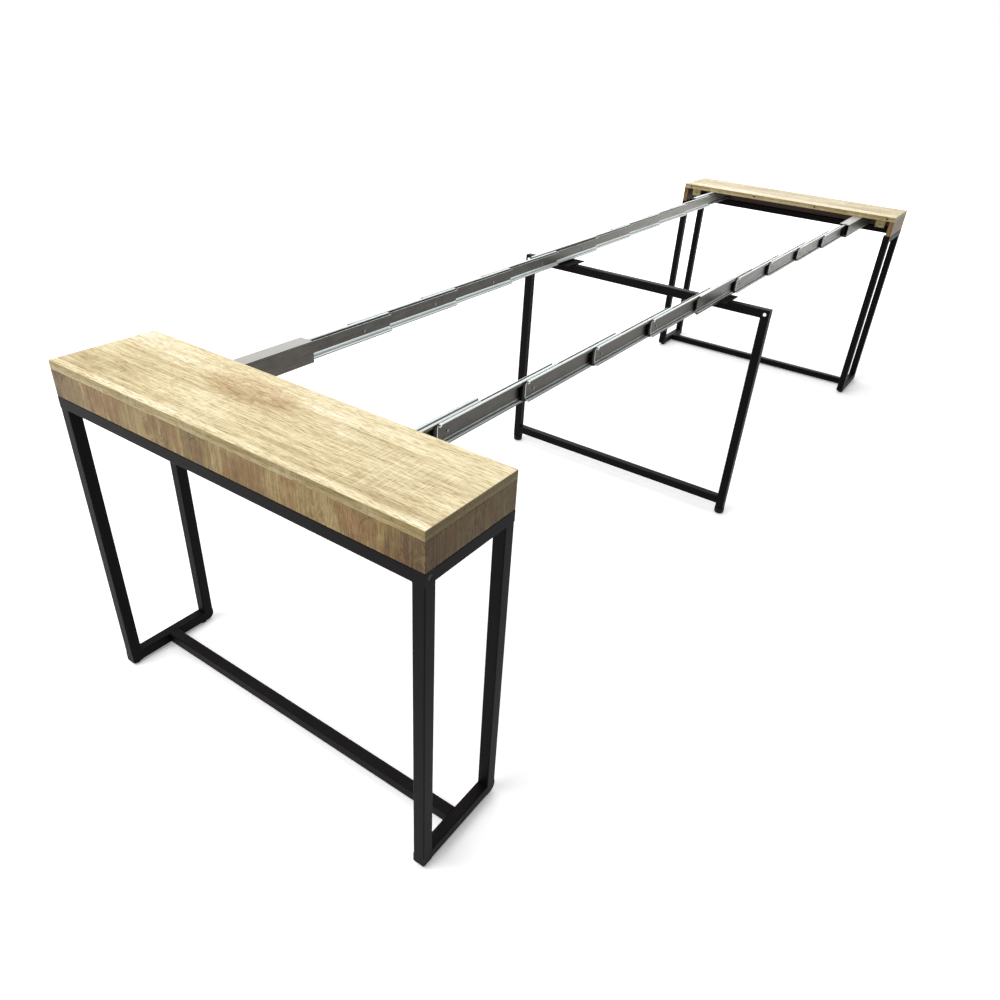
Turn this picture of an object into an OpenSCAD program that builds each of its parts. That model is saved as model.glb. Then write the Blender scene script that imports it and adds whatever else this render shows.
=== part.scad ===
// Extending console dining table, drawn fully extended with its leaves off.
// X runs along the extension, from the near console to the far one.
// Y runs across the table, with the left side at +Y. Z is up from the floor.

/* [Table] */
// Width of each console across the table
table_w = 900; // [820:10:1000]
// Depth of one console along the table
console_d = 225; // [200:5:260]
// Height of the table top from the floor
table_h = 750; // [720:5:780]
// Length of the table when it is fully extended
extended_l = 3140; // [2900:10:3160]
// Gap between the two consoles when the table is closed
closed_gap = 2; // [1:1:6]

/* [Boards] */
// Thickness of the top boards and aprons
board_t = 18; // [16:1:22]
// Height of the boxed edge, top board and apron together
box_h = 72; // [68:1:84]
// Radius on the edges of the boards
board_edge_r = 1; // [0.5:0.25:2]
// Radius of a leaf pin hole
leaf_hole_r = 4; // [3:0.5:5]
// Depth of a leaf pin hole
leaf_hole_depth = 25; // [20:1:40]
// Distance between the two outer leaf pin holes
leaf_outer_spacing = 840; // [760:10:860]
// Distance between the two inner leaf pin holes
leaf_inner_spacing = 260; // [200:10:320]

/* [Steel frames] */
// Outside width of the square tube
tube = 25; // [20:1:30]
// Wall of the square tube
tube_wall = 1.5; // [1.2:0.1:2]
// Corner radius of the square tube
tube_r = 2.5; // [2:0.25:3.5]
// Height of a console foot
foot_h = 6; // [4:1:10]
// Radius of a console foot
foot_r = 10; // [8:0.5:12]
// Radius of a side loop's bottom corner below the open edge
loop_corner_r = 16; // [8:1:22]
// Width of the centre frame across the table
centre_w = 824; // [790:2:830]
// Distance of the centre frame from the table's middle, towards the far end
centre_x = 10; // [0:1:15]
// Height of the centre frame's bottom bar above the floor
centre_bar_z = 35; // [30:1:60]
// Height of a centre foot
centre_foot_h = 18; // [14:1:24]
// Radius of a centre foot
centre_foot_r = 15.5; // [12:0.5:16]
// Width of a slide mounting plate across the table
mount_plate_w = 64; // [50:1:76]
// Length of a slide mounting plate along the table
mount_plate_l = 100; // [80:5:140]
// Thickness of a slide mounting plate
mount_plate_t = 3; // [2:0.5:4]
// Distance of a slide mounting plate's middle inwards from the centre member
mount_plate_inset = 5; // [0:0.5:8]

/* [Slides] */
// Length of a slide member
slide_l = 395; // [380:1:400]
// Height of a slide member
slide_h = 45; // [44:0.5:46]
// Sheet thickness of a slide member
slide_t = 1.5; // [1.2:0.1:1.6]
// Extra flange thickness of the centre member
centre_flange_extra = 2.5; // [0.5:0.25:2.5]
// Sheet thickness of a tongue
tongue_t = 1.2; // [1:0.1:1.4]
// Corner radius of a slide member
slide_r = 2.5; // [2:0.25:3]
// Radius on the near end of a slide member, seen from the side
slide_end_r = 10; // [6:0.5:12]
// Sideways step from one slide member to the next
lane_pitch = 9; // [8.9:0.1:9.4]
// Distance from the side of the table to the first member's web
slide_inset = 229; // [224:0.5:245]
// Height of the channel's mouth
mouth_h = 34; // [32:0.5:34]
// Width of the track turned in along the mouth
track_w = 4.5; // [4.3:0.1:4.7]
// Running gap beside a slide member
running_gap = 0.5; // [0.4:0.05:0.7]
// Gap round a plastic glide
glide_gap = 0.3; // [0.2:0.05:0.4]
// Length of a glide behind the member's near end
glide_l = 36; // [26:1:40]
// Length of the glide in front of the member's near end
bumper_l = 9; // [6:0.5:12]
// Gap between the slides and the aprons when the table is closed
end_gap = 2; // [1:0.5:4]
// Gap between the slides and the underside of a board
slide_drop = 3.5; // [3.5:0.5:8]
// Depth of the near housing's closed box, behind its web
near_box_d = 8.5; // [6:0.5:10]
// Depth of the far housing's closed box, in front of its web
far_box_d = 14.5; // [12:0.5:16]
// Width of a slide cover plate
cover_w = 35.5; // [30:0.5:38]
// Thickness of a slide cover plate
cover_t = 2; // [1.5:0.5:2]

/* [Fasteners] */
// Radius of a frame bolt's shank
bolt_r = 3; // [2.5:0.5:4]
// Radius of a frame bolt's head
bolt_head_r = 5; // [4.5:0.5:6]
// Radius of the hole that a frame bolt goes in through
access_r = 6; // [5.5:0.5:7]
// Height of a frame bolt's head
bolt_head_h = 2.2; // [1.5:0.1:3]
// Gap round a bolt's shank
bolt_gap = 0.3; // [0.2:0.1:0.5]
// Length of each leg of an angle bracket
bracket_leg = 28; // [22:1:32]
// Width of an angle bracket
bracket_w = 36; // [20:1:40]
// Thickness of an angle bracket
bracket_t = 2; // [1.5:0.5:3]
// Distance of an angle bracket from the open edge of a console
bracket_inset = 15; // [8:1:60]
// Distance of an angle bracket's middle from the side of the table
bracket_side = 53; // [45:1:80]

/* [Hidden] */
$fn = 48;
stages = 10;
members = stages + 1;
centre_member = members / 2 + 0.5;
left = 1;
right = -1;

// Key places along the table
half_l = extended_l / 2;
stage_travel = (extended_l - 2 * console_d - closed_gap) / stages;
first_near_x = -half_l + board_t + end_gap + bumper_l;
housing_l = 2 * console_d + closed_gap - 2 * board_t - 2 * end_gap - bumper_l;
stretcher_x = (console_d - tube) / 2;
open_foot_x = console_d - loop_corner_r - foot_r;
first_lane = table_w / 2 - slide_inset;

// Key heights
under_board = table_h - board_t;
frame_top = table_h - box_h;
slide_z = under_board - slide_drop - slide_h / 2;
seat_gap = 0.3;
seat_z = under_board - seat_gap;
cover_z = seat_z - cover_t;
plate_z = slide_z - slide_h / 2 - centre_flange_extra - mount_plate_t;

// The slide's section, measured outwards from the back of its web
channel_d = lane_pitch - running_gap;
tongue_d = lane_pitch - slide_t - running_gap;
neck_h = mouth_h - 2 * running_gap;
hook_h = slide_h - 2 * slide_t - 2;
rivet_r = 3;
rivet_h = 1;
rivet_x = glide_l - 2 * rivet_r;
glide_r = 0.5;
relief_h = 18;
relief_d = slide_t + rivet_h + 2;
stop_r = 3;
stop_h = lane_pitch - tongue_t - slide_t - 1.8;
stop_x = stage_travel + glide_l + glide_gap + stop_r;

// Fasteners and inserts
insert_l = 20;
insert_spare = 3;
bolt_l = tube_wall + insert_l - insert_spare;
spigot = tube - 2 * tube_wall - 2;
spigot_clear = 0.3;
bracket_hole_r = 2.2;

bark = "#b39468";
pale_oak = "#e6d0a0";
black_steel = "#242224";
zinc = "#b9bbb8";
black_plastic = "#141414";
yellow_zinc = "#b5975a";

function lane(k) = first_lane + lane_pitch * (k - 1);
function near_end(k) = first_near_x + stage_travel * (k - 1);

// Placing

// Puts a console drawn from its outer face at x = 0 at the near or the far end
module at_end(far) {
    if (far) mirror([1, 0, 0]) translate([-half_l, 0, 0]) children();
    else translate([-half_l, 0, 0]) children();
}

// Puts a shape drawn on the left on the side asked for
module on_side(side) {
    if (side == left) children();
    else mirror([0, 1, 0]) children();
}

module along_x(length) rotate([90, 0, 90]) linear_extrude(length) children();
module along_y(length) rotate([-90, 0, 0]) linear_extrude(length) children();

// Basic shapes

// Rectangle from low to high with round corners
module round_rect(low, high, r) {
    size = high - low;
    translate(low + [r, 0]) square([size[0] - 2 * r, size[1]]);
    translate(low + [0, r]) square([size[0], size[1] - 2 * r]);
    for (x = [low[0] + r, high[0] - r], y = [low[1] + r, high[1] - r])
        translate([x, y]) circle(r);
}

// Board from low to high with every edge eased
module board(low, high) {
    intersection() {
        translate([0, 0, low[2]]) linear_extrude(high[2] - low[2])
            round_rect([low[0], low[1]], [high[0], high[1]], board_edge_r);
        translate([low[0], 0, 0]) along_x(high[0] - low[0])
            round_rect([low[1], low[2]], [high[1], high[2]], board_edge_r);
        translate([0, low[1], 0]) along_y(high[1] - low[1])
            round_rect([low[0], -high[2]], [high[0], -low[2]], board_edge_r);
    }
}

// Outline of the square tube, or of its hollow
module tube_outline(inset = 0) {
    round_rect([inset, inset], [tube - inset, tube - inset], tube_r - inset);
}

// Square tube along X, Y or Z from its lowest corner
module bar_x(length, inset = 0) along_x(length) tube_outline(inset);
module bar_y(length, inset = 0) translate([0, 0, tube]) along_y(length) tube_outline(inset);
module bar_z(length, inset = 0) linear_extrude(length) tube_outline(inset);

// Hollow of a tube, open at neither end
module hollow_z(length) translate([0, 0, tube_wall]) bar_z(length - 2 * tube_wall, tube_wall);
module hollow_x(length) translate([tube_wall, 0, 0]) bar_x(length - 2 * tube_wall, tube_wall);

// Hole or shank along Y from y = 0
module rod_y(r, length) rotate([-90, 0, 0]) cylinder(r = r, h = length);
module rod_x(r, length) rotate([0, 90, 0]) cylinder(r = r, h = length);

// Boards of a console

module top_board(far) {
    color(pale_oak) at_end(far) difference() {
        board([0, -table_w / 2, under_board], [console_d, table_w / 2, table_h]);
        for (y = [leaf_outer_spacing, leaf_inner_spacing] / 2, side = [left, right])
            translate([console_d - leaf_hole_depth, side * y, under_board + board_t / 2])
                rod_x(leaf_hole_r, leaf_hole_depth + 1);
    }
}

module outer_apron(far) {
    color(bark) at_end(far)
        board([0, -table_w / 2, frame_top], [board_t, table_w / 2, under_board]);
}

module side_apron(far, side) {
    color(bark) at_end(far) on_side(side)
        board([board_t, table_w / 2 - board_t, frame_top], [console_d, table_w / 2, under_board]);
}

module angle_bracket() {
    difference() {
        union() {
            translate([0, -bracket_w / 2, -bracket_leg]) cube([bracket_t, bracket_w, bracket_leg]);
            translate([0, -bracket_w / 2, -bracket_t]) cube([bracket_leg, bracket_w, bracket_t]);
        }
        translate([-1, 0, -bracket_leg * 0.6]) rod_x(bracket_hole_r, bracket_t + 2);
        translate([bracket_leg * 0.6, 0, -bracket_t - 1])
            cylinder(r = bracket_hole_r, h = bracket_t + 2);
    }
}

module angle_brackets(far) {
    color(yellow_zinc) at_end(far) for (side = [left, right]) on_side(side)
        translate([console_d - bracket_inset, table_w / 2 - bracket_side, under_board])
            rotate([0, 0, 180]) angle_bracket();
}

// Steel frame of a console

// Side view of a leg loop, or of its hollow, with the one round corner
module loop_side(inset = 0) {
    height = frame_top - foot_h;
    r = loop_corner_r - inset;
    end = console_d - inset;
    translate([inset, -height]) square([end - r - inset, height - inset]);
    translate([end - r, -height]) square([r, height - inset - r]);
    translate([end - r, -inset - r]) circle(r);
}

module loop_tubes(hollow = false) {
    height = frame_top - foot_h;
    for (x = [0, console_d - tube]) translate([x, 0, 0])
        if (hollow) hollow_z(height); else bar_z(height);
    for (z = [0, height - tube]) translate([0, 0, z])
        if (hollow) hollow_x(console_d); else bar_x(console_d);
}

// Places of the frame bolts, as x and z of each bolt's axis
frame_bolts = [[tube / 2, frame_top - tube / 2], [stretcher_x + tube / 2, foot_h + tube / 2]];

module leg_frame(far, side) {
    color(black_steel) at_end(far) on_side(side) difference() {
        translate([0, table_w / 2 - tube, foot_h]) difference() {
            intersection() {
                loop_tubes();
                along_y(tube) loop_side();
            }
            intersection() {
                loop_tubes(hollow = true);
                along_y(tube) loop_side(tube_wall);
            }
        }
        for (place = frame_bolts) translate([place[0], table_w / 2 - tube, place[1]]) {
            translate([0, -1, 0]) rod_y(bolt_r + bolt_gap, tube_wall + 2);
            translate([0, tube / 2, 0]) rod_y(access_r, tube);
        }
    }
}

// Tube across the table between the leg frames, with a threaded insert in each end
module cross_tube(far, x, z) {
    length = table_w - 2 * tube;
    color(black_steel) at_end(far) translate([x, -length / 2, z]) difference() {
        bar_y(length);
        translate([0, insert_l, 0]) bar_y(length - 2 * insert_l, tube_wall);
        for (y = [-1, length - insert_l - 1])
            translate([tube / 2, y, tube / 2]) rod_y(bolt_r + bolt_gap, insert_l + 2);
    }
}

module top_bar(far) cross_tube(far, 0, frame_top - tube);
module stretcher(far) cross_tube(far, stretcher_x, foot_h);

module bolts(far) {
    color(zinc) at_end(far) for (side = [left, right], place = frame_bolts) on_side(side)
        translate([place[0], table_w / 2 - tube + tube_wall, place[1]]) {
            rod_y(bolt_head_r, bolt_head_h);
            translate([0, -bolt_l, 0]) rod_y(bolt_r, bolt_l + bolt_head_h / 2);
        }
}

// Round foot with an eased bottom edge
module foot(r, h, ease) {
    rotate_extrude() {
        translate([0, ease]) square([r, h - ease]);
        square([r - ease, h]);
        translate([r - ease, ease]) circle(ease);
    }
}

module feet(far) {
    color(black_plastic) at_end(far) for (side = [left, right], x = [tube / 2, open_foot_x])
        translate([x, side * (table_w - tube) / 2, 0]) foot(foot_r, foot_h, foot_r * 0.2);
}

// Slide members

// Channel that opens outwards, with a track turned in along each side of its mouth
module channel_section(extra) {
    inner_half = slide_h / 2 - slide_t;
    difference() {
        round_rect([0, -slide_h / 2 - extra], [channel_d, slide_h / 2 + extra], slide_r);
        round_rect([slide_t, -inner_half], [channel_d - slide_t, inner_half], slide_r - slide_t);
        translate([channel_d - slide_t - 1, -mouth_h / 2]) square([slide_t + 2, mouth_h]);
    }
    for (v = [-mouth_h / 2 - slide_t, mouth_h / 2])
        translate([channel_d - track_w, v]) square([track_w - slide_t / 2, slide_t]);
}

// Hooked tongue on the back, which runs in the mouth of the member before it
module tongue_section() {
    translate([-tongue_t, -neck_h / 2]) square([tongue_t * 1.5, neck_h]);
    for (side = [0, 1]) mirror([0, side]) {
        translate([-tongue_d, neck_h / 2 - tongue_t]) square([tongue_d, tongue_t]);
        translate([-tongue_d, neck_h / 2 - tongue_t]) square([tongue_t, (hook_h - neck_h) / 2 + tongue_t]);
    }
}

// Plastic glide inside the channel of the member before, slotted round its tracks
module glide_section() {
    floor_u = slide_t + glide_gap - lane_pitch;
    behind_track = channel_d - track_w - glide_gap - lane_pitch;
    behind_lip = channel_d - slide_t - glide_gap - lane_pitch;
    top_v = slide_h / 2 - slide_t - glide_gap;
    track_v = mouth_h / 2 + slide_t + glide_gap;
    throat_v = mouth_h / 2 - glide_gap;
    difference() {
        union() {
            round_rect([floor_u, -top_v], [behind_track, top_v], glide_r);
            translate([floor_u, -throat_v]) square([-floor_u, 2 * throat_v]);
            for (side = [0, 1]) mirror([0, side])
                round_rect([floor_u, track_v], [behind_lip, top_v], glide_r);
        }
        translate([floor_u - 1, -relief_h / 2])
            square([relief_d - slide_t - glide_gap + 1, relief_h]);
    }
}

// Side view of a member, with round corners at its near end
module side_outline(from_x, length, half_h) {
    translate([from_x + slide_end_r, -half_h]) square([length - slide_end_r, 2 * half_h]);
    translate([from_x, slide_end_r - half_h]) square([length, 2 * (half_h - slide_end_r)]);
    for (v = [slide_end_r - half_h, half_h - slide_end_r])
        translate([from_x + slide_end_r, v]) circle(slide_end_r);
}

// Glide behind a member's near end, with a bumper plate in front of the web
module glide(bumper) {
    front = bumper ? bumper_l : 0;
    color(black_plastic) {
        translate([-front, 0, 0]) along_x(front + glide_l) glide_section();
        if (bumper) along_y(slide_t) difference() {
            side_outline(-bumper_l, bumper_l + slide_end_r, slide_h / 2 - 1);
            side_outline(0, slide_end_r + 1, slide_h / 2);
        }
    }
}

module stop_pin(tail) {
    translate([stop_x, slide_t / 2, 0]) rod_y(stop_r, stop_h + slide_t / 2);
    if (tail) translate([stop_x, -tongue_t - rivet_h, 0]) rod_y(stop_r + 0.5, rivet_h + tongue_t);
}

module glide_rivet() translate([rivet_x, slide_t / 2, 0]) rod_y(rivet_r, rivet_h + slide_t / 2);

module place_member(k, side) on_side(side) translate([near_end(k), lane(k), slide_z]) children();

module channel(length, extra, round_end) intersection() {
    along_x(length) channel_section(extra);
    if (round_end) along_y(channel_d) side_outline(0, length, slide_h / 2);
}

module tongue(length) translate([glide_l, 0, 0]) along_x(length - glide_l) tongue_section();

// Inner member, with a channel in front and a tongue and glide behind
module slide_member(k, side) {
    middle = k == centre_member;
    place_member(k, side) {
        color(zinc) union() {
            channel(slide_l, middle ? centre_flange_extra : 0, !middle);
            tongue(slide_l);
            glide_rivet();
            stop_pin(tail = true);
        }
        glide(bumper = !middle);
    }
}

// Only the near left and the far right housing carry a cover plate
function is_covered(far, side) = side == (far ? right : left);
function housing_top(far, side) = (is_covered(far, side) ? cover_z : seat_z) - slide_z;

// Folded box along the table, between two distances from the web's back
module folded_box(from_y, to_y, top) along_x(housing_l) {
    low = [from_y, -slide_h / 2];
    high = [to_y, top];
    wall = [slide_t, slide_t];
    difference() {
        round_rect(low, high, slide_r);
        round_rect(low + wall, high - wall, slide_r - slide_t);
    }
}

// First member, whose web is one side of a box that rises to the near top board
module near_slide_housing(side) {
    color(zinc) place_member(1, side) union() {
        channel(housing_l, 0, false);
        folded_box(-near_box_d, slide_t, housing_top(false, side));
        glide_rivet();
        stop_pin(tail = false);
    }
}

// Last member, a folded box that rises to the far top board
module far_slide_housing(side) {
    place_member(members, side) {
        color(zinc) union() {
            folded_box(0, far_box_d, housing_top(true, side));
            tongue(housing_l);
        }
        glide(bumper = true);
    }
}

// Flat plate that covers the slide under a top board
module slide_cover(far) {
    k = far ? members : 1;
    inner_y = far ? lane(k) + far_box_d - cover_w : lane(k) - near_box_d;
    color(zinc) on_side(far ? right : left)
        translate([near_end(k), inner_y, cover_z]) cube([housing_l, cover_w, cover_t]);
}

// Centre frame

leg_y = (centre_w - tube) / 2;
centre_bolt_z = plate_z - tube / 2;

// Tube that lies across the table, pierced from below and from the side for each leg's spigot
module centre_top_bar() {
    hole = spigot + 2 * spigot_clear;
    color(black_steel) translate([centre_x - tube / 2, -centre_w / 2, plate_z - tube]) difference() {
        bar_y(centre_w);
        translate([0, tube_wall, 0]) bar_y(centre_w - 2 * tube_wall, tube_wall);
        for (y = [tube / 2, centre_w - tube / 2]) {
            translate([(tube - hole) / 2, y - hole / 2, -1]) cube([hole, hole, tube_wall + 2]);
            translate([-1, y, tube / 2]) rod_x(bolt_r + bolt_gap, tube + 2);
        }
    }
}

module centre_leg(side) {
    bottom = centre_foot_h;
    top = plate_z - tube;
    plug = tube - 2 * tube_wall;
    stem_r = centre_foot_r * 0.4 + bolt_gap;
    color(black_steel) on_side(side) translate([centre_x - tube / 2, leg_y - tube / 2, 0]) difference() {
        union() {
            translate([0, 0, bottom]) bar_z(top - bottom);
            translate([(tube - spigot) / 2, (tube - spigot) / 2, top - 1])
                cube([spigot, spigot, tube - tube_wall - spigot_clear + 1]);
        }
        translate([0, 0, bottom + tube_wall]) bar_z(top - bottom - tube_wall - insert_l, tube_wall);
        translate([tube / 2, tube / 2, bottom - 1]) cylinder(r = stem_r, h = tube_wall + 2);
        translate([-1, tube / 2, centre_bolt_z]) rod_x(bolt_r + bolt_gap, tube + 2);
    }
}

module centre_bottom_bar() {
    length = centre_w - 2 * tube;
    color(black_steel) translate([centre_x - tube / 2, -length / 2, centre_bar_z]) difference() {
        bar_y(length);
        translate([0, -1, 0]) bar_y(length + 2, tube_wall);
    }
}

// Levelling foot with a stem up into the leg
module centre_feet() {
    stem_h = 14;
    color(black_plastic) for (side = [left, right]) translate([centre_x, side * leg_y, 0]) {
        foot(centre_foot_r, centre_foot_h, centre_foot_r * 0.45);
        cylinder(r = centre_foot_r * 0.4, h = centre_foot_h + stem_h);
    }
}

// Cross bolt through the top bar and the leg's spigot, with a nut behind
module centre_bolts() {
    start_x = centre_x - tube / 2;
    color(zinc) for (side = [left, right]) translate([start_x, side * leg_y, centre_bolt_z]) {
        translate([-bolt_head_h, 0, 0]) rod_x(bolt_head_r, bolt_head_h);
        translate([-1, 0, 0]) rod_x(bolt_r, tube + bolt_head_h + 1);
        translate([tube, 0, 0]) rod_x(bolt_head_r, bolt_head_h);
    }
}

module centre_mount_plates() {
    middle_y = lane(centre_member) - mount_plate_inset;
    color(black_steel) for (side = [left, right]) on_side(side)
        translate([centre_x - mount_plate_l / 2, middle_y - mount_plate_w / 2, plate_z])
            cube([mount_plate_l, mount_plate_w, mount_plate_t]);
}

top_board(false);  // near_top_board
outer_apron(false);  // near_outer_apron
side_apron(false, left);  // near_side_apron_left
side_apron(false, right);  // near_side_apron_right
leg_frame(false, left);  // near_leg_frame_left
leg_frame(false, right);  // near_leg_frame_right
top_bar(false);  // near_top_bar
stretcher(false);  // near_stretcher
bolts(false);  // near_bolts
feet(false);  // near_feet
angle_brackets(false);  // near_angle_brackets
slide_cover(false);  // near_slide_cover
near_slide_housing(left);  // near_slide_housing_left
near_slide_housing(right);  // near_slide_housing_right
slide_member(2, left);  // slide_2_left
slide_member(3, left);  // slide_3_left
slide_member(4, left);  // slide_4_left
slide_member(5, left);  // slide_5_left
slide_member(2, right);  // slide_2_right
slide_member(3, right);  // slide_3_right
slide_member(4, right);  // slide_4_right
slide_member(5, right);  // slide_5_right
slide_member(6, left);  // slide_6_left
slide_member(6, right);  // slide_6_right
centre_top_bar();
centre_bottom_bar();
centre_leg(left);  // centre_leg_left
centre_leg(right);  // centre_leg_right
centre_feet();
centre_bolts();
centre_mount_plates();
slide_member(7, left);  // slide_7_left
slide_member(8, left);  // slide_8_left
slide_member(9, left);  // slide_9_left
slide_member(10, left);  // slide_10_left
slide_member(7, right);  // slide_7_right
slide_member(8, right);  // slide_8_right
slide_member(9, right);  // slide_9_right
slide_member(10, right);  // slide_10_right
top_board(true);  // far_top_board
outer_apron(true);  // far_outer_apron
side_apron(true, left);  // far_side_apron_left
side_apron(true, right);  // far_side_apron_right
leg_frame(true, left);  // far_leg_frame_left
leg_frame(true, right);  // far_leg_frame_right
top_bar(true);  // far_top_bar
stretcher(true);  // far_stretcher
bolts(true);  // far_bolts
feet(true);  // far_feet
angle_brackets(true);  // far_angle_brackets
slide_cover(true);  // far_slide_cover
far_slide_housing(left);  // far_slide_housing_left
far_slide_housing(right);  // far_slide_housing_right
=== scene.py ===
"""Dresses the extending console table: finishes, small fittings, studio and camera.

The frame has +X from the near console to the far one, +Y left and +Z up. Sizes on the table are in
millimetres, and those of the studio and the camera are in metres.
"""
import math
from functools import partial

import bmesh
import bpy
from mathutils import Matrix, Vector


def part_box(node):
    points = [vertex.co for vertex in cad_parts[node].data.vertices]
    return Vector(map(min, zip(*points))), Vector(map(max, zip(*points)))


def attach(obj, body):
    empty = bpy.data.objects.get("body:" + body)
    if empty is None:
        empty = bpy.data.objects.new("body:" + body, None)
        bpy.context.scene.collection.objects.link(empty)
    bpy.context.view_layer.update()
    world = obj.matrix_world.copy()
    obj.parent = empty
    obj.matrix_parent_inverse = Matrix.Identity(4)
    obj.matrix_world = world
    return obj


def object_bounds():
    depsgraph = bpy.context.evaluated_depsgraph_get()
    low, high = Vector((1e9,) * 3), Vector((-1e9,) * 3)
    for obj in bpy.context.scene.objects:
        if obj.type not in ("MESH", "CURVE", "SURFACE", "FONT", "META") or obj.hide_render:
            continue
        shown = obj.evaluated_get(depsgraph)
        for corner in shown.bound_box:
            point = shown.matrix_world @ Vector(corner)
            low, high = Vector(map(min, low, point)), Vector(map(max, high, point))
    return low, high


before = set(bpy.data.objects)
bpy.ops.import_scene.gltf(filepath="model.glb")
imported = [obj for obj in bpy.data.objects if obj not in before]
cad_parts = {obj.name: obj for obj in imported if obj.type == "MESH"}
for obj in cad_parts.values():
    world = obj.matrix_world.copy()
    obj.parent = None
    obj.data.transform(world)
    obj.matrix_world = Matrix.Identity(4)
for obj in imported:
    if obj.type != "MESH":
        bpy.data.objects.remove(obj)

CAD_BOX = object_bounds()
MM = 0.001
SIDES = {"left": 1, "right": -1}
ENDS = {"near": -1, "far": 1}
MEMBERS = 11
CENTRE = 6


def box_mm(node):
    """Lowest and highest corner of a CAD node, in millimetres."""
    return [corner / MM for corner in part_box(node)]


# Sizes read from the frame
HALF_L = CAD_BOX[1].x / MM
HALF_W = CAD_BOX[1].y / MM
TABLE_H = CAD_BOX[1].z / MM
UNDER_BOARD = box_mm("near_top_board")[0].z
FRAME_TOP = box_mm("near_outer_apron")[0].z
BOARD_T = TABLE_H - UNDER_BOARD
BAR_LOW, BAR_HIGH = box_mm("near_top_bar")
TUBE = BAR_HIGH.z - BAR_LOW.z
STRETCHER_LOW, STRETCHER_HIGH = box_mm("near_stretcher")
MEMBER_LOW, MEMBER_HIGH = box_mm("slide_3_left")
SLIDE_Z = (MEMBER_LOW.z + MEMBER_HIGH.z) / 2
SLIDE_HALF = (MEMBER_HIGH.z - MEMBER_LOW.z) / 2

# Slide members, as in the CAD: the sheet, the tongue, how deep the channel and the far housing are, the
# step from lane to lane, half of the channel's mouth and the round end of the web
SHEET = 1.5
TONGUE_T = 1.2
CHANNEL_D = 8.5
FAR_BOX_D = 14.5
LANE_PITCH = 9.0
MOUTH_HALF = 17.0
END_R = 10.0

# Glides, as in the CAD: the bumper in front, the running gap, the slot for a track and the relief over
# the rivets
BUMPER = 9.0
BUMPER_INSET = 1.0
GLIDE_L = 36.0
GLIDE_GAP = 0.3
TRACK_D = 4.5
RELIEF_HALF = 9.0
RELIEF_D = 2.7

# Rivets, as in the CAD, with their places from a member's near end
GLIDE_RIVET_X = 30.0
GLIDE_RIVET_R = 3.0
STOP_X = 308.1
STOP_TAIL_R = 3.5
RIVET_H = 1.0

# What the scene's own pieces add to the slides: a skin over each glide, with eased corners to clear the
# channel's bends, pale rims round the members' ends that are painted highlights, and domes on the rivets
SKIN = 0.12
GLIDE_EASE = 0.6
RIM_W = 1.6
RIM_SKIN = 0.1
HEAD_RIM = 0.15
RIVET_DOME = 0.7
TAIL_DOME = 0.5

# Caps in the frame bolts' access holes, and faces of the centre frame's bolts, whose sockets are black
# hexagons of painted shade
PLUG_R = 5.9
PLUG_SINK = 0.4
PLUG_ROUND = 0.6
PLUG_RIM = 1.6
PLUG_DISH = 0.7
PLUG_SLOPE = 0.1
BOLT_FACE_R = 4.9
BOLT_DOME = 0.8
SOCKET_R = 2.3
SOCKET_H = 0.75
SOCKET_SIDES = 6


# Colours and node trees

def linear(code):
    """The linear colour of an sRGB hex code, with alpha."""
    parts = [int(code[i:i + 2], 16) / 255 for i in (1, 3, 5)]
    return tuple(c / 12.92 if c <= 0.04045 else ((c + 0.055) / 1.055) ** 2.4 for c in parts) + (1.0,)


def join(tree, node, inputs):
    """Fills a node's inputs, each with a linked socket, a number, a vector or a hex colour."""
    for key, value in inputs.items():
        if isinstance(value, bpy.types.NodeSocket):
            tree.links.new(value, node.inputs[key])
        else:
            node.inputs[key].default_value = linear(value) if isinstance(value, str) else value


def add(tree, kind, inputs=None, out=0, stops=(), **settings):
    """Adds a node with its settings, inputs and ramp stops, and returns one of its outputs."""
    node = tree.nodes.new("ShaderNode" + kind)
    for key, value in settings.items():
        setattr(node, key, value)
    join(tree, node, inputs or {})
    for index, (place, code) in enumerate(stops):
        elements = node.color_ramp.elements
        element = elements[index] if index < len(elements) else elements.new(place)
        element.position, element.color = place, linear(code)
    return node.outputs[out]


def material(name):
    """A new material, its adder and its Principled node."""
    mat = bpy.data.materials.new(name)
    mat.use_nodes = True
    return mat, partial(add, mat.node_tree), mat.node_tree.nodes["Principled BSDF"]


def waves(node, size_mm, offset=(0, 0, 0), detail=3.0, rough=0.55, twist=0.0):
    """Soft noise pattern whose waves are size_mm long along each axis."""
    scale = [1 / (size * MM) for size in size_mm]
    place = node("Mapping", {"Vector": node("TexCoord", out="Object"), "Scale": scale, "Location": offset})
    return node("TexNoise", {"Vector": place, "Scale": 1.0, "Detail": detail, "Roughness": rough,
                             "Distortion": twist})


def along(node, axis):
    """The place along an axis, in metres."""
    return node("SeparateXYZ", {0: node("TexCoord", out="Object")}, axis)


def spot(node, at_mm, reach_mm):
    """How far from a place, as a share of its reach along each axis."""
    scale, shift = [1 / (r * MM) for r in reach_mm], [-a / r for a, r in zip(at_mm, reach_mm)]
    away = node("Mapping", {"Vector": node("TexCoord", out="Object"), "Scale": scale, "Location": shift})
    return node("VectorMath", {0: away}, "Value", operation="LENGTH")


def beyond(node, axis, limit_mm):
    """1 where the place along an axis is further than limit_mm from the middle, else 0."""
    away = node("Math", {0: along(node, axis)}, operation="ABSOLUTE")
    return node("Math", {0: away, 1: limit_mm * MM}, operation="GREATER_THAN")


def blended(node, body, layers):
    """Lays tints over a body colour.

    Each layer has a mask, the range in which it rises, its share when risen, a blend and a tint.
    """
    for mask, low, high, amount, blend, tint in layers:
        share = node("MapRange", {"Value": mask, "From Min": low, "From Max": high, "To Max": amount})
        body = node("Mix", {0: share, 6: body, 7: tint}, 2, data_type="RGBA", blend_type=blend)
    return body


# Oak print

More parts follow.
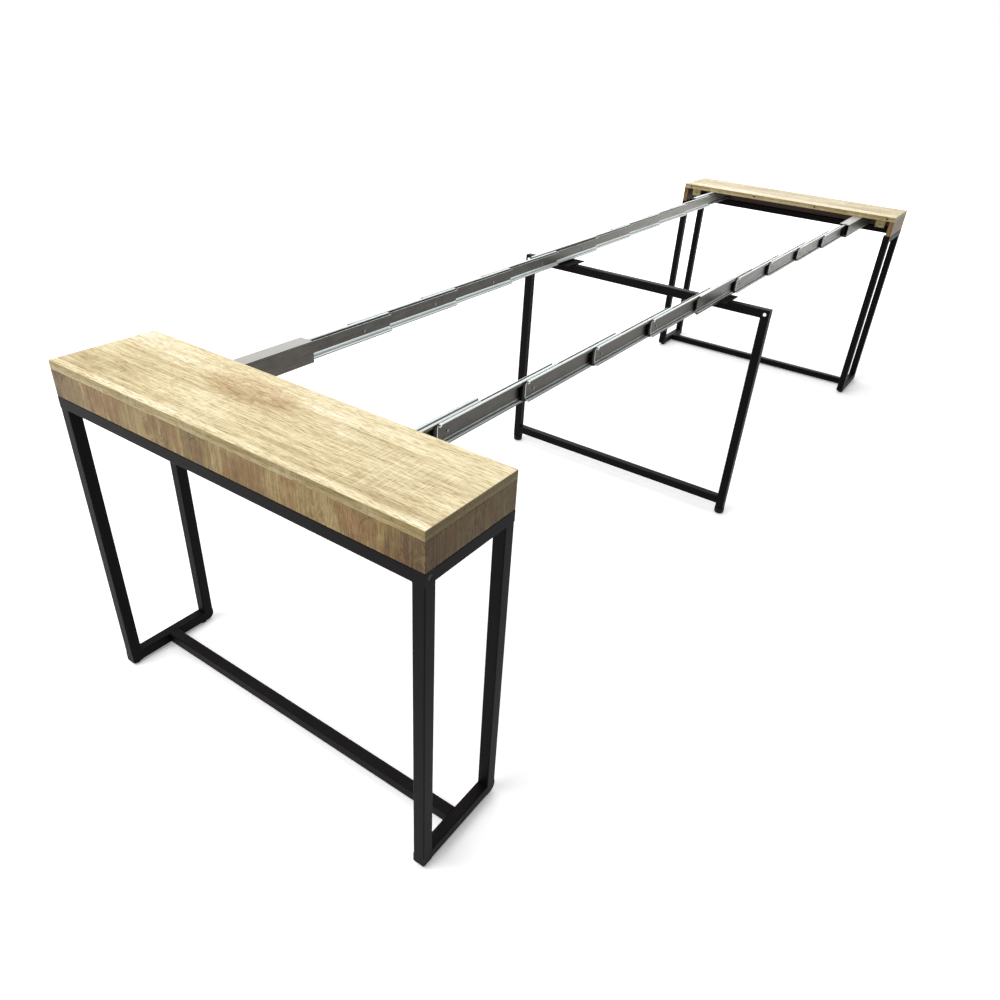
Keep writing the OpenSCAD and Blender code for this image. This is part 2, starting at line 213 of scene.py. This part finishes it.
# Width across the grain and length along it of each pattern, in millimetres. Real pores are 0.3 mm
# wide and real flecks 0.5 mm; they are drawn as wide as the render needs to show them.
PORES = (1.4, 24)
FLECKS = (1.3, 12)
FINE_GRAIN = (2.8, 110)
BROAD_GRAIN = (9, 240)
DRIFT = (80, 260)
PINK_AREAS = (55, 150)
CURLS = (70, 160)
RING_WAVER = (40, 150)
SAW_MARKS = (70, 3.6)
SAW_AREAS = (75, 120)

STAVE_W = 74.0
STAVE_SEED = 0.5
TONE_STOPS = (0.37, 0.45, 0.53, 0.62)
PORE_DEPTH = 0.15

# Where the near top board has its patch of saw marks and its knot, and how far each reaches
SAW_AT, SAW_REACH = (-1465, -300, 750), (65, 150, 100)
KNOT_AT, KNOT_REACH = (-1418, 70, 750), (55, 150, 100)

# Radians of the rings' wave over the waver's whole range, and out to the knot's reach
WAVER_TURN, KNOT_TURN = 42.0, 11.0

# How deep the masks take a board's top and underside, and an apron's inner face, in millimetres
FACE_T = 0.5
BACKING_T = 1.0


def stave_tones(node, across, seed):
    """A random tone for each stave across a board."""
    stave = node("Math", {0: along(node, across), 1: STAVE_W * MM}, operation="DIVIDE")
    stave = node("Math", {0: stave}, operation="FLOOR")
    stave = node("Math", {0: stave, 1: seed}, operation="ADD")
    return node("TexWhiteNoise", {"W": stave}, noise_dimensions="1D")


def curled_rings(node, fibres, from_knot, near_knot, patchy):
    """Growth rings that curl round the knot and, as much as patchy says, in other areas."""
    curls, waver = fibres(CURLS, 1, 0.5), fibres(RING_WAVER, 3, 0.5, 1.2)
    curl = node("MapRange", {"Value": curls, "From Min": 0.5, "From Max": 0.6, "To Max": patchy})
    curl = node("Math", {0: curl, 1: near_knot}, operation="MAXIMUM")
    turn = node("Math", {0: from_knot, 1: KNOT_TURN}, operation="MULTIPLY")
    turn = node("Math", {0: waver, 1: WAVER_TURN, 2: turn}, operation="MULTIPLY_ADD")
    wave = node("Math", {0: turn}, operation="SINE")
    return node("Math", {0: wave, 1: curl}, operation="MULTIPLY")


def saw_marks(node, fibres, near_saw):
    """Marks of the saw across the grain, in some areas and in the patch on the near top board."""
    marks = node("MapRange", {"Value": fibres(SAW_MARKS, 1, 0.5, 0.1), "From Min": 0.5, "From Max": 0.56})
    area = node("MapRange", {"Value": fibres(SAW_AREAS, 1, 0.5), "From Min": 0.5, "From Max": 0.58})
    area = node("Math", {0: area, 1: near_saw}, operation="MAXIMUM")
    return node("Math", {0: marks, 1: area}, operation="MULTIPLY")


def sawn_oak(node, grain, across, tones, offset=(0, 0, 0), patchy=0.0, saw_share=0.8, stretch=1.0):
    """Printed sawn oak: staves that differ in tone, pores along the grain and pale saw marks across it.

    grain and across are the axes along and across the staves, and tones run from dark to light. offset
    moves the patterns, so that each finish has its own. patchy is how much some areas curl and turn to a
    pinkish brown, saw_share is how strong the saw marks are, and stretch scales every pattern's length.
    Returns the colour and the pores.
    """

    def fibres(size, detail, rough, twist=0.0):
        wide, long = size
        lengths = [wide] * 3
        lengths["XYZ".index(grain)] = long * stretch
        return waves(node, lengths, offset, detail, rough, twist)

    from_knot, from_saw = spot(node, KNOT_AT, KNOT_REACH), spot(node, SAW_AT, SAW_REACH)
    near_knot = node("MapRange", {"Value": from_knot, "From Min": 1.0, "From Max": 0.55})
    near_saw = node("MapRange", {"Value": from_saw, "From Min": 1.0, "From Max": 0.5})
    rings = curled_rings(node, fibres, from_knot, near_knot, patchy)
    staves = stave_tones(node, across, offset[0] + STAVE_SEED)
    broad, fine = fibres(BROAD_GRAIN, 4, 0.6, 0.4), fibres(FINE_GRAIN, 3, 0.6, 0.4)
    drift, pores = fibres(DRIFT, 2, 0.5), fibres(PORES, 3, 0.6, 0.5)
    tone = 0.0
    for pattern, share in ((broad, 0.32), (fine, 0.23), (drift, 0.3), (staves, 0.12), (rings, 0.09),
                           (near_knot, -0.045), (near_saw, -0.04)):
        tone = node("Math", {0: pattern, 1: share, 2: tone}, operation="MULTIPLY_ADD")
    body = node("ValToRGB", {"Fac": tone}, stops=list(zip(TONE_STOPS, tones)))
    body = blended(node, body, (
        (fibres(PINK_AREAS, 2, 0.5), 0.46, 0.56, patchy, "MULTIPLY", "#d3b39f"),
        (near_knot, 0.0, 1.0, 0.3, "MULTIPLY", "#e2c0aa"),
        (rings, 0.2, 0.9, 0.7, "MULTIPLY", "#c9b294"),
        (pores, 0.5, 0.38, 1.0, "MULTIPLY", "#c8b592"),
        (fibres(FLECKS, 2, 0.6), 0.52, 0.64, 0.8, "SCREEN", "#4a4535"),
        (saw_marks(node, fibres, near_saw), 0.0, 1.0, saw_share, "SCREEN", "#857f66")))
    return body, pores


def melamine(node, shader, faces, pores):
    """Melamine film pressed on chipboard, whose satin sheen is broken by the pressed pores.

    faces has the first colour, and then masks with the colour that covers it where each is 1.
    """
    colour = faces[0]
    for mask, cover in faces[1:]:
        colour = node("Mix", {0: mask, 6: colour, 7: cover}, 2, data_type="RGBA")
    normal = node("Bump", {"Height": pores, "Strength": 0.4, "Distance": PORE_DEPTH * MM})
    join(shader.id_data, shader, {"Base Color": colour, "Roughness": 0.5, "Specular IOR Level": 0.3,
                                  "Normal": normal})


def top_melamine():
    """Pale print on top, an edge band round the sides and a brown backing sheet underneath."""
    mat, node, shader = material("sawn_oak_melamine_top")
    face, pores = sawn_oak(node, "Y", "X", ["#b6a27a", "#d6c59b", "#eadcb5", "#f6edd3"])
    band, _ = sawn_oak(node, "Y", "Z", ["#ab9765", "#bda978", "#cbb989", "#d9c89e"], (9, 2, 5))
    backing = node("ValToRGB", {"Fac": pores}, stops=[(0.2, "#46322a"), (0.9, "#594036")])
    melamine(node, shader, (backing, (beyond(node, "Z", UNDER_BOARD + FACE_T), band),
                            (beyond(node, "Z", TABLE_H - FACE_T), face)), pores)
    return mat


def apron_melamine(name, across, outwards, half, offset):
    """Darker print with upright grain, and a brown backing sheet on the inner face.

    half is how far the apron's outer face is from the middle, along the axis outwards.
    """
    mat, node, shader = material(name)
    tones = ["#654e30", "#8c7548", "#ae9561", "#cfb888"]
    face, pores = sawn_oak(node, "Z", across, tones, offset, patchy=0.7, saw_share=0.15, stretch=0.6)
    backing = node("ValToRGB", {"Fac": pores}, stops=[(0.2, "#42302a"), (0.9, "#563e36")])
    inner = half - BOARD_T + BACKING_T
    melamine(node, shader, (backing, (beyond(node, outwards, inner), face)), pores)
    return mat


# Metals and plastics

# Widths of the coarsest grain of each surface, in millimetres. The real ones are 0.1 to 0.3 mm wide;
# they are drawn as wide as close views need to show them.
POWDER_TOOTH = 0.9
MOULD_GRAIN = 0.6
ROLL_MARK_W, ROLL_MARK_L = 1.2, 180

# Widths of the slow changes of tone
POWDER_DRIFT = 60
PLASTIC_DRIFT = 12
FILM_CLOUD_W, FILM_CLOUD_L = 14, 40

# Painted highlight: the pale colour of the slides' flat faces. Painted reflection: the tint that webs gain
# between two places along X, as if they mirrored a paler room
FLAT_HIGHLIGHT = "#d4dbda"
FAR_REFLECTION_TINT = "#716f69"
PALER_FROM, PALER_TO = -0.2 * HALF_L, 0.7 * HALF_L

# How far below the slide's middle the painted highlight lines of its lower lip and tongue start and end
LIP_TOP, LIP_BOTTOM = 13.0, 17.8
TONGUE_TOP = 9.0


def powder_coat():
    """Polyester powder, baked on: nearly flat black with a fine tooth that softens every highlight."""
    mat, node, shader = material("black_powder_coat")
    drift = waves(node, [POWDER_DRIFT] * 3)
    colour = node("ValToRGB", {"Fac": drift}, stops=[(0.3, "#080506"), (0.7, "#0f0b0c")])
    tooth = waves(node, [POWDER_TOOTH] * 3, detail=2)
    normal = node("Bump", {"Height": tooth, "Strength": 0.25, "Distance": 0.05 * MM})
    join(shader.id_data, shader, {"Base Color": colour, "Roughness": 0.5, "Specular IOR Level": 0.07,
                                  "Normal": normal})
    return mat


def paint_flat_highlight(node, colour, facing, flat_highlight):
    """Painted highlight on the faces that lie flat, and painted reflection that pales the upright ones to the
    far end.

    facing is the surface's normal. Returns the colour and how metallic it is.
    """
    flat = node("Math", {0: node("SeparateXYZ", {0: facing}, "Z")}, operation="ABSOLUTE")
    metallic = node("MapRange", {"Value": flat, "From Min": 0.5, "From Max": 0.8, "To Min": 1.0,
                                 "To Max": 0.1})
    colour = blended(node, colour, (
        (along(node, "X"), PALER_FROM * MM, PALER_TO * MM, 1.0, "SCREEN", FAR_REFLECTION_TINT),
        (flat, 0.5, 0.8, 1.0, "MIX", flat_highlight)))
    return colour, metallic


def paint_lip_highlight(node, colour, facing, flat_highlight):
    """Paints a highlight line along the slide's lower lip, and a wider one along the tongue behind it."""
    sideways = node("SeparateXYZ", {0: facing}, "Y")
    inwards = node("Math", {0: sideways, 1: along(node, "Y")}, operation="MULTIPLY")
    inwards = node("Math", {0: inwards, 1: 0.0}, operation="LESS_THAN")
    line_top = node("Math", {0: inwards, 1: (LIP_TOP - TONGUE_TOP) * MM, 2: (SLIDE_Z - LIP_TOP) * MM},
                    operation="MULTIPLY_ADD")
    height = along(node, "Z")
    below = node("Math", {0: height, 1: line_top}, operation="LESS_THAN")
    above = node("Math", {0: height, 1: (SLIDE_Z - LIP_BOTTOM) * MM}, operation="GREATER_THAN")
    line = node("Math", {0: below, 1: above}, operation="MULTIPLY")
    return node("Mix", {0: line, 6: colour, 7: flat_highlight}, 2, data_type="RGBA")


def zinc_plate(name, dark, light, rough, flat_highlight=None, lip_highlight=False):
    """Rolled steel, zinc plated: it mirrors the room softly, with roll marks along X and faint clouds.

    The flat colour, if given, is a painted highlight on the faces that lie flat, which also turn less
    metallic, with a painted reflection that pales the upright faces to the far end. The lip option adds
    painted highlight lines along the slides' lower lips.
    """
    mat, node, shader = material(name)
    roll = waves(node, (ROLL_MARK_L, ROLL_MARK_W, ROLL_MARK_W), rough=0.6)
    cloud = waves(node, (FILM_CLOUD_L, FILM_CLOUD_W, FILM_CLOUD_W))
    clouds = node("Math", {0: cloud, 1: 0.6}, operation="MULTIPLY")
    tone = node("Math", {0: roll, 1: 0.4, 2: clouds}, operation="MULTIPLY_ADD")
    colour = node("ValToRGB", {"Fac": tone}, stops=[(0.35, dark), (0.65, light)])
    metallic = 1.0
    if flat_highlight:
        facing = node("NewGeometry", out="True Normal")
        colour, metallic = paint_flat_highlight(node, colour, facing, flat_highlight)
        if lip_highlight:
            colour = paint_lip_highlight(node, colour, facing, flat_highlight)
    gloss = node("MapRange", {"Value": cloud, "From Min": 0.3, "From Max": 0.7, "To Min": rough - 0.05,
                              "To Max": rough + 0.07})
    normal = node("Bump", {"Height": roll, "Strength": 0.12, "Distance": 0.05 * MM})
    join(shader.id_data, shader, {"Base Color": colour, "Metallic": metallic, "Roughness": gloss,
                                  "Normal": normal})
    return mat


def black_plastic(name, dark, light, rough):
    """Injection-moulded black plastic: even and dark, with a faint mould grain."""
    mat, node, shader = material(name)
    drift = waves(node, [PLASTIC_DRIFT] * 3)
    colour = node("ValToRGB", {"Fac": drift}, stops=[(0.35, dark), (0.7, light)])
    grain = waves(node, [MOULD_GRAIN] * 3, detail=2)
    normal = node("Bump", {"Height": grain, "Strength": 0.2, "Distance": 0.04 * MM})
    join(shader.id_data, shader, {"Base Color": colour, "Roughness": rough, "Specular IOR Level": 0.15,
                                  "Normal": normal})
    return mat


# The finish of each part of the table

TOP_OAK = top_melamine()
OUTER_OAK = apron_melamine("sawn_oak_melamine_outer", "Y", "X", HALF_L, (3, 4, 6))
SIDE_OAK = apron_melamine("sawn_oak_melamine_side", "X", "Y", HALF_W, (5, 1, 8))
BLACK_STEEL = powder_coat()

# Slides and their housings and covers: plated sheet with a soft gloss, whose dark base colour is painted
# shade, a dark reflection painted on the webs
ZINC = zinc_plate("zinc_plate_painted_light", "#464440", "#5a5854", 0.4, FLAT_HIGHLIGHT, lip_highlight=True)
HOUSING_ZINC = zinc_plate("zinc_housing_painted_light", "#4a4742", "#5c5954", 0.4, FLAT_HIGHLIGHT)
COVER_ZINC = zinc_plate("zinc_cover_painted_light", "#4a4742", "#5c5954", 0.45, "#a9a7a2")

# Bolts and rivets: barrel plated, so smoother and brighter; and the pale strips round the slides' ends, which
# are painted highlights of their edges
BRIGHT_ZINC = zinc_plate("bright_zinc_plate", "#b9b9b5", "#dcdcd8", 0.25)
RIVET_STEEL = zinc_plate("dull_rivet_steel", "#6a6965", "#8c8b87", 0.3)
EDGE_HIGHLIGHT = zinc_plate("painted_edge_highlight", "#c8cac7", "#dcdedb", 0.3)

# Brackets: the yellow film dulls the zinc to a warm olive metal
YELLOW_ZINC = zinc_plate("yellow_chromate_zinc", "#5e5638", "#8d8362", 0.35)

# Glides and feet are matt nylon, and caps a glossier, softer plastic, which also paints the shade in the
# centre bolts' sockets
MOULDED = black_plastic("black_moulded_nylon", "#0c0c0d", "#161617", 0.5)
PLUG_BLACK_AND_SOCKET_SHADE = black_plastic("black_polythene_plug_and_socket_shade", "#101011", "#19191a", 0.3)

# What the end of a CAD node's name says of its finish
FINISHES = {
    "top_board": TOP_OAK, "outer_apron": OUTER_OAK, "apron_left": SIDE_OAK, "apron_right": SIDE_OAK,
    "feet": MOULDED, "angle_brackets": YELLOW_ZINC, "bolts": BRIGHT_ZINC, "slide_cover": COVER_ZINC,
    "housing_left": HOUSING_ZINC, "housing_right": HOUSING_ZINC,
}


def finish_of(name):
    """The finish of a CAD node: the one that its name's end says, or that of the slides or the frames."""
    for ending, mat in FINISHES.items():
        if name.endswith(ending):
            return mat
    return ZINC if name.startswith("slide_") else BLACK_STEEL


for name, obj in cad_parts.items():
    for slot in obj.material_slots:
        slot.link = "OBJECT"
        slot.material = finish_of(name)


# Making pieces

# Points of a turned piece that are nearer to each other than this, in millimetres, are one
MERGE = 0.001


def piece(name, mesh, mat, body):
    """Makes an object of a mesh in millimetres, with its finish, and puts it on a body."""
    bmesh.ops.scale(mesh, vec=(MM, MM, MM), verts=mesh.verts)
    bmesh.ops.recalc_face_normals(mesh, faces=mesh.faces)
    data = bpy.data.meshes.new(name)
    mesh.to_mesh(data)
    mesh.free()
    data.materials.append(mat)
    obj = bpy.data.objects.new(name, data)
    bpy.context.scene.collection.objects.link(obj)
    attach(obj, body)


def facing_out(sign, x, y, z):
    """Places a shape drawn flat in X and Y: its Y goes up and its Z goes out to the side of the table."""
    return Matrix(((1, 0, 0, x), (0, 0, sign, sign * y), (0, 1, 0, z), (0, 0, 0, 1)))


def facing_in(sign, x, y, z):
    """Places such a shape turned over: its Z goes in to the table's middle, and its Y goes down."""
    return facing_out(sign, x, y, z) @ Matrix.Rotation(math.pi, 4, "X")


def along_slide(sign, x, y, z):
    """Places a section drawn flat in X and Y: its X goes out to the side, its Y up, its Z along the slide."""
    return Matrix(((0, 0, 1, x), (sign, 0, 0, sign * y), (0, 1, 0, z), (0, 0, 0, 1)))


def slab(mesh, matrix, outline, low, high):
    """Adds a face round the outline, extruded from low to high along its own Z."""
    face = mesh.faces.new([mesh.verts.new((a, b, low)) for a, b in outline])
    raised = bmesh.ops.extrude_face_region(mesh, geom=[face])["geom"]
    raised = [v for v in raised if isinstance(v, bmesh.types.BMVert)]
    bmesh.ops.translate(mesh, vec=(0, 0, high - low), verts=raised)
    bmesh.ops.transform(mesh, matrix=matrix, verts=raised + list(face.verts))


def turned(mesh, matrix, profile, steps=24):
    """Spins a profile of (radius, height) points, which starts and ends on the axis, round its own Z."""
    known = set(mesh.verts)
    points = [mesh.verts.new((radius, 0, height)) for radius, height in profile]
    edges = [mesh.edges.new(pair) for pair in zip(points, points[1:])]
    bmesh.ops.spin(mesh, geom=points + edges, cent=(0, 0, 0), axis=(0, 0, 1), dvec=(0, 0, 0),
                   angle=2 * math.pi, steps=steps, use_merge=True)
    bmesh.ops.remove_doubles(mesh, verts=[v for v in mesh.verts if v not in known], dist=MERGE)
    bmesh.ops.transform(mesh, matrix=matrix, verts=[v for v in mesh.verts if v not in known])


def arc(centre, radius, start, stop, steps=8):
    """Points on an arc, with angles in degrees."""
    angles = [math.radians(start + (stop - start) * i / steps) for i in range(steps + 1)]
    return [(centre[0] + radius * math.cos(a), centre[1] + radius * math.sin(a)) for a in angles]


def d_end(front, radius, half):
    """The rounded near end of a plate whose front is at x = front, from the top down."""
    high, low = (front + radius, half - radius), (front + radius, radius - half)
    return arc(high, radius, 90, 180) + arc(low, radius, 180, 270)


def rivet_head(radius, dome, base):
    """Profile of a head with a low rim and a dome, as a quarter of an ellipse, that stands on base."""
    rise = dome - HEAD_RIM
    bend = [math.radians(a) for a in (10, 30, 50, 70)]
    rim = [(0, base), (radius, base), (radius, base + HEAD_RIM)]
    crown = [(radius * math.cos(a), base + HEAD_RIM + rise * math.sin(a)) for a in bend]
    return rim + crown + [(0, base + dome)]


# Slide fittings

def member_body(k, side):
    """The body that carries a member: its own, or the console or centre frame that it is screwed to."""
    if k in (1, MEMBERS):
        return "near_console" if k == 1 else "far_console"
    return "centre" if k == CENTRE else f"slide_{k}_{side}"


def member_place(k, side):
    """Near end and lane of a member, read from its CAD node."""
    ends = {1: "near_slide_housing_", MEMBERS: "far_slide_housing_"}
    low, high = box_mm(ends.get(k, f"slide_{k}_") + side)
    outer = max(abs(low.y), abs(high.y))
    front = BUMPER if k not in (1, CENTRE) else 0
    return low.x + front, outer - (FAR_BOX_D if k == MEMBERS else CHANNEL_D)


def glide_section():
    """Outline of a glide as (outwards, up) points: relieved over rivets, and slotted round the tracks."""
    back = SHEET + GLIDE_GAP - LANE_PITCH - SKIN
    lip, track = (CHANNEL_D - wall - GLIDE_GAP - LANE_PITCH + SKIN for wall in (SHEET, TRACK_D))
    wing, slot = SLIDE_HALF - SHEET - GLIDE_GAP + SKIN, MOUTH_HALF + SHEET + GLIDE_GAP - SKIN
    throat, relief = MOUTH_HALF - GLIDE_GAP + SKIN, RELIEF_HALF - SKIN
    ease = GLIDE_EASE
    upper = [(back + RELIEF_D, relief), (back, relief), (back, wing - ease), (back + ease, wing),
             (lip - ease, wing), (lip, wing - ease), (lip, slot), (track, slot), (track, throat), (0, throat)]
    return upper + [(out, -up) for out, up in upper[::-1]]


def glide(k, side):
    """Black glide: a block in the channel of the member before, and a rounded bumper plate in front."""
    near_x, lane_y = member_place(k, side)
    at = (SIDES[side], near_x, lane_y, SLIDE_Z)
    front = -SKIN if k == CENTRE else -BUMPER - SKIN
    mesh = bmesh.new()
    slab(mesh, along_slide(*at), glide_section(), front, GLIDE_L)
    if k != CENTRE:
        nose = d_end(front, END_R + SKIN, SLIDE_HALF - BUMPER_INSET + SKIN)
        slab(mesh, facing_out(*at), nose + d_end(0, END_R, SLIDE_HALF)[::-1], -SKIN, SHEET + SKIN)
    piece(f"glide_{k}_{side}", mesh, MOULDED, member_body(k, side))


def end_highlight(k, side):
    """A pale strip round the rounded near end of a member's web: a painted highlight of its edge."""
    near_x, lane_y = member_place(k, side)
    mesh = bmesh.new()
    grow = RIM_SKIN / 2
    outline = (d_end(-grow, END_R + grow, SLIDE_HALF + grow)
               + d_end(RIM_W, END_R - RIM_W, SLIDE_HALF - RIM_W)[::-1])
    slab(mesh, facing_out(SIDES[side], near_x, lane_y, SLIDE_Z), outline, -RIM_SKIN, SHEET + RIM_SKIN)
    piece(f"end_highlight_{k}_{side}", mesh, EDGE_HIGHLIGHT, member_body(k, side))


def rivet_heads(k, side):
    """Domed heads of a member's glide rivet and of the tail of its stop rivet."""
    near_x, lane_y = member_place(k, side)
    mesh = bmesh.new()
    turned(mesh, facing_out(SIDES[side], near_x + GLIDE_RIVET_X, lane_y + SHEET, SLIDE_Z),
           rivet_head(GLIDE_RIVET_R, RIVET_DOME, RIVET_H - SKIN))
    if k > 1:
        turned(mesh, facing_in(SIDES[side], near_x + STOP_X, lane_y - TONGUE_T, SLIDE_Z),
               rivet_head(STOP_TAIL_R, TAIL_DOME, RIVET_H - SKIN))
    piece(f"rivet_heads_{k}_{side}", mesh, RIVET_STEEL, member_body(k, side))


for side in SIDES:
    for k in range(1, MEMBERS + 1):
        if k > 1:
            glide(k, side)
        if k not in (1, CENTRE, MEMBERS):
            end_highlight(k, side)
        if k < MEMBERS:
            rivet_heads(k, side)


# Frame fittings

def hole_plugs(end):
    """Black caps, a little sunk, in the access holes of the frame bolts."""
    mesh = bmesh.new()
    dish = PLUG_SINK + PLUG_DISH
    profile = [(0, dish + PLUG_ROUND), (PLUG_R, dish + PLUG_ROUND), (PLUG_R, PLUG_SINK + PLUG_ROUND / 2),
               (PLUG_R - PLUG_ROUND, PLUG_SINK), (PLUG_R - PLUG_RIM, PLUG_SINK + PLUG_SLOPE),
               (PLUG_R - PLUG_RIM - PLUG_ROUND, dish - PLUG_SLOPE), (0, dish)]
    top_place = (HALF_L - TUBE / 2, FRAME_TOP - TUBE / 2)
    low_place = (-(STRETCHER_LOW.x + STRETCHER_HIGH.x) / 2, (STRETCHER_LOW.z + STRETCHER_HIGH.z) / 2)
    for sign in SIDES.values():
        for x, z in (top_place, low_place):
            turned(mesh, facing_in(sign, ENDS[end] * x, HALF_W, z), profile)
    piece(f"hole_plugs_{end}", mesh, PLUG_BLACK_AND_SOCKET_SHADE, f"{end}_console")


def bolt_faces():
    """Domed faces of the centre frame's bolts, and black hexagons on them, painted shade for their sockets.
    """
    low, high = box_mm("centre_bolts")
    x, z = (low.x + high.x) / 2, (low.z + high.z) / 2
    domes, sockets = bmesh.new(), bmesh.new()
    socket = [(0, 0), (SOCKET_R, 0), (SOCKET_R, SOCKET_H), (0, SOCKET_H)]
    for sign in SIDES.values():
        out = facing_out(sign, x, high.y, z)
        turned(domes, out, rivet_head(BOLT_FACE_R, BOLT_DOME, -SKIN))
        turned(sockets, out, socket, steps=SOCKET_SIDES)
    piece("centre_bolt_domes", domes, BRIGHT_ZINC, "centre")
    piece("centre_bolt_socket_shades", sockets, PLUG_BLACK_AND_SOCKET_SHADE, "centre")


for end in ENDS:
    hole_plugs(end)
bolt_faces()

# Studio, in metres

scene = bpy.context.scene
scene.view_settings.view_transform = "Standard"
FLOOR_HALF = 30

# The floor's own glow near the table, and the distances between which it rises to the backdrop's white
FLOOR_GLOW = 0.25
SHADOW_REACH = (1.6, 3.6)

# Where the sky is brightest
SKY_AXIS = (-0.15, 0.5, 0.85)


def background_rays(node):
    """1 for the rays that see the background as it is: camera, glossy and transmission rays."""
    camera_ray, glossy_ray = node("LightPath", out="Is Camera Ray"), node("LightPath", out="Is Glossy Ray")
    seen = node("Math", {0: camera_ray, 1: glossy_ray}, operation="MAXIMUM")
    return node("Math", {0: seen, 1: node("LightPath", out="Is Transmission Ray")}, operation="MAXIMUM")


def floor_paint():
    """White floor that keeps the shadows near the table and fades to the white backdrop beyond it."""
    mat, node, shader = material("pale_floor")
    seen = background_rays(node)
    colour = node("Mix", {0: seen, 6: "#6c6c6c", 7: "#ffffff"}, 2, data_type="RGBA")
    away = node("VectorMath", {0: node("TexCoord", out="Object")}, "Value", operation="LENGTH")
    glow = node("MapRange", {"Value": away, "From Min": SHADOW_REACH[0], "From Max": SHADOW_REACH[1],
                             "To Min": FLOOR_GLOW})
    glow = node("Math", {0: seen, 1: glow}, operation="MULTIPLY")
    join(shader.id_data, shader, {"Base Color": colour, "Roughness": 1.0, "Specular IOR Level": 0.0,
                                  "Emission Color": "#ffffff", "Emission Strength": glow})
    return mat


def floor():
    """The floor under the table, wide enough to pass every view's edge."""
    mesh = bmesh.new()
    bmesh.ops.create_grid(mesh, x_segments=2, y_segments=2, size=FLOOR_HALF)
    data = bpy.data.meshes.new("floor")
    mesh.to_mesh(data)
    mesh.free()
    data.materials.append(floor_paint())
    obj = bpy.data.objects.new("floor", data)
    scene.collection.objects.link(obj)


def backdrop():
    """A white backdrop, and for diffuse light a soft sky that is brighter overhead and to the left."""
    scene.world = bpy.data.worlds.new("studio")
    scene.world.use_nodes = True
    tree = scene.world.node_tree
    node = partial(add, tree)
    height = node("VectorMath", {0: node("TexCoord", out="Generated"), 1: SKY_AXIS}, "Value",
                  operation="DOT_PRODUCT")
    dome = node("ValToRGB", {"Fac": height}, stops=[(0.0, "#343434"), (0.2, "#5c5c5c"), (0.6, "#c4c6c4"),
                                                    (1.0, "#dcdede")])
    colour = node("Mix", {0: background_rays(node), 6: dome, 7: "#ffffff"}, 2, data_type="RGBA")
    join(tree, tree.nodes["Background"], {"Color": colour, "Strength": 1.0})


def soft_box(name, at, towards, size, power):
    """A wide lamp that shines from one place towards another, with its power in watts."""
    data = bpy.data.lights.new(name, "AREA")
    data.shape = "RECTANGLE"
    data.size, data.size_y = size
    data.energy = power
    light = bpy.data.objects.new(name, data)
    light.location = at
    light.rotation_euler = (Vector(towards) - Vector(at)).to_track_quat("-Z", "Y").to_euler()
    scene.collection.objects.link(light)


floor()
backdrop()
soft_box("key", at=(-3.9, 1.4, 4.2), towards=(-0.5, 0, 0.6), size=(3.5, 3.5), power=155)
soft_box("over", at=(0.8, 0.6, 5.0), towards=(0.6, 0, 0.6), size=(5, 3), power=80)
soft_box("far wall", at=(6.2, 3.6, 2.3), towards=(0, -0.2, 0.73), size=(7, 2.2), power=120)

# Camera, as fitted to the photograph: its turn is a rotation vector, and the sizes in pixels are of a
# photograph that is PHOTO_PX wide and high

PHOTO_PX = 1000
FOCAL_PX = 788.82
PRINCIPAL_PX = (505.66, 523.17)
CAMERA_AT = (-2.25264, -1.00928, 1.33558)
CAMERA_TURN = (1.9718641, -0.9953373, 0.6174465)
SENSOR_MM = 36


def camera():
    """The photograph's camera."""
    data = bpy.data.cameras.new("camera")
    data.sensor_width = SENSOR_MM
    data.lens = FOCAL_PX * SENSOR_MM / PHOTO_PX
    data.shift_x = (PHOTO_PX / 2 - PRINCIPAL_PX[0]) / PHOTO_PX
    data.shift_y = (PRINCIPAL_PX[1] - PHOTO_PX / 2) / PHOTO_PX
    turn = Vector(CAMERA_TURN)
    rows = Matrix.Rotation(turn.length, 3, turn.normalized())
    # The fit has Y down and Z forward; Blender's camera has Y up and looks along -Z
    axes = Matrix((rows[0], -rows[1], -rows[2])).transposed()
    obj = bpy.data.objects.new("camera", data)
    obj.matrix_world = Matrix.Translation(CAMERA_AT) @ axes.to_4x4()
    scene.collection.objects.link(obj)
    scene.camera = obj


camera()
